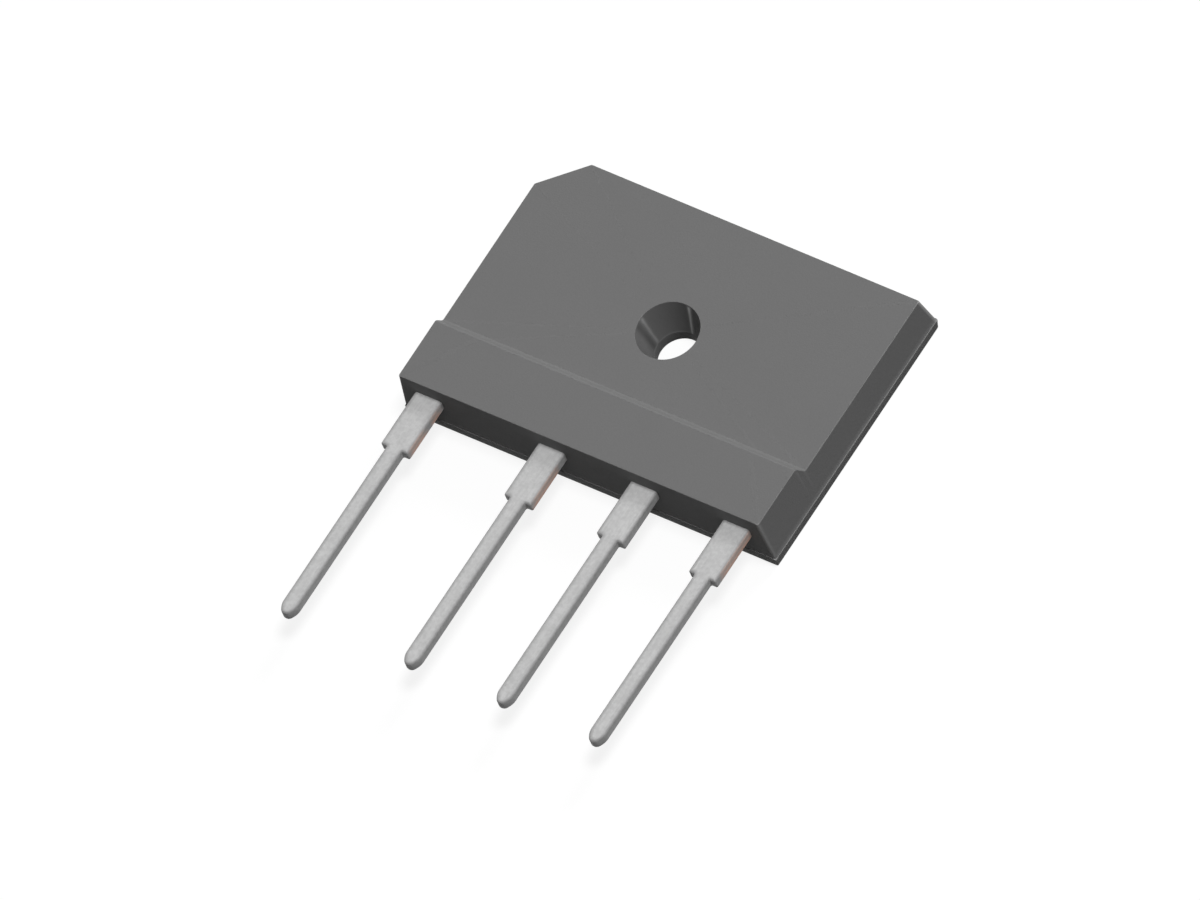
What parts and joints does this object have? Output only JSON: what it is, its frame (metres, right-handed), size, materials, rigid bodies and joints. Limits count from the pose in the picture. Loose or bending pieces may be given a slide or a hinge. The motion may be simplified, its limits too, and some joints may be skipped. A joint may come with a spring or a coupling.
{
  "type": "bridge rectifier",
  "caption": "Flat in-line bridge rectifier: moulded epoxy case with a chamfered corner, a stepped lead edge and a mounting hole, on a row of flat tinned leads with shoulders.",
  "frame": {"origin": "axis of the mounting hole, on the back face", "axes": "+Z out of the front face, +Y from the leads towards the top edge, +X from the positive lead towards the negative lead; it lies on its back face"},
  "size_m": [0.0302, 0.0386, 0.0046],
  "materials": {
    "epoxy": "fine matte moulded epoxy compound",
    "tinned_copper": "matte tin plating on stamped copper",
    "copper": "bare stamped copper",
    "silicon": "lapped silicon with a glassed edge groove",
    "solder": "satin reflowed solder"
  },
  "bodies": {
    "root": {"epoxy_case": "epoxy", "lead_positive": "tinned_copper", "lead_ac_left": "tinned_copper", "lead_ac_right": "tinned_copper", "lead_negative": "tinned_copper", "chip_positive_left": "silicon", "chip_positive_right": "silicon", "chip_negative_left": "silicon", "chip_negative_right": "silicon", "chip_solder_positive_left": "solder", "chip_solder_positive_right": "solder", "chip_solder_negative_left": "solder", "chip_solder_negative_right": "solder", "clip_left": "copper", "clip_right": "copper", "clip_negative": "copper", "clip_solder_positive_left": "solder", "clip_solder_positive_right": "solder", "clip_solder_negative_left": "solder", "clip_solder_negative_right": "solder", "foot_solder_left": "solder", "foot_solder_right": "solder", "foot_solder_negative": "solder"}
  },
  "joints": []
}
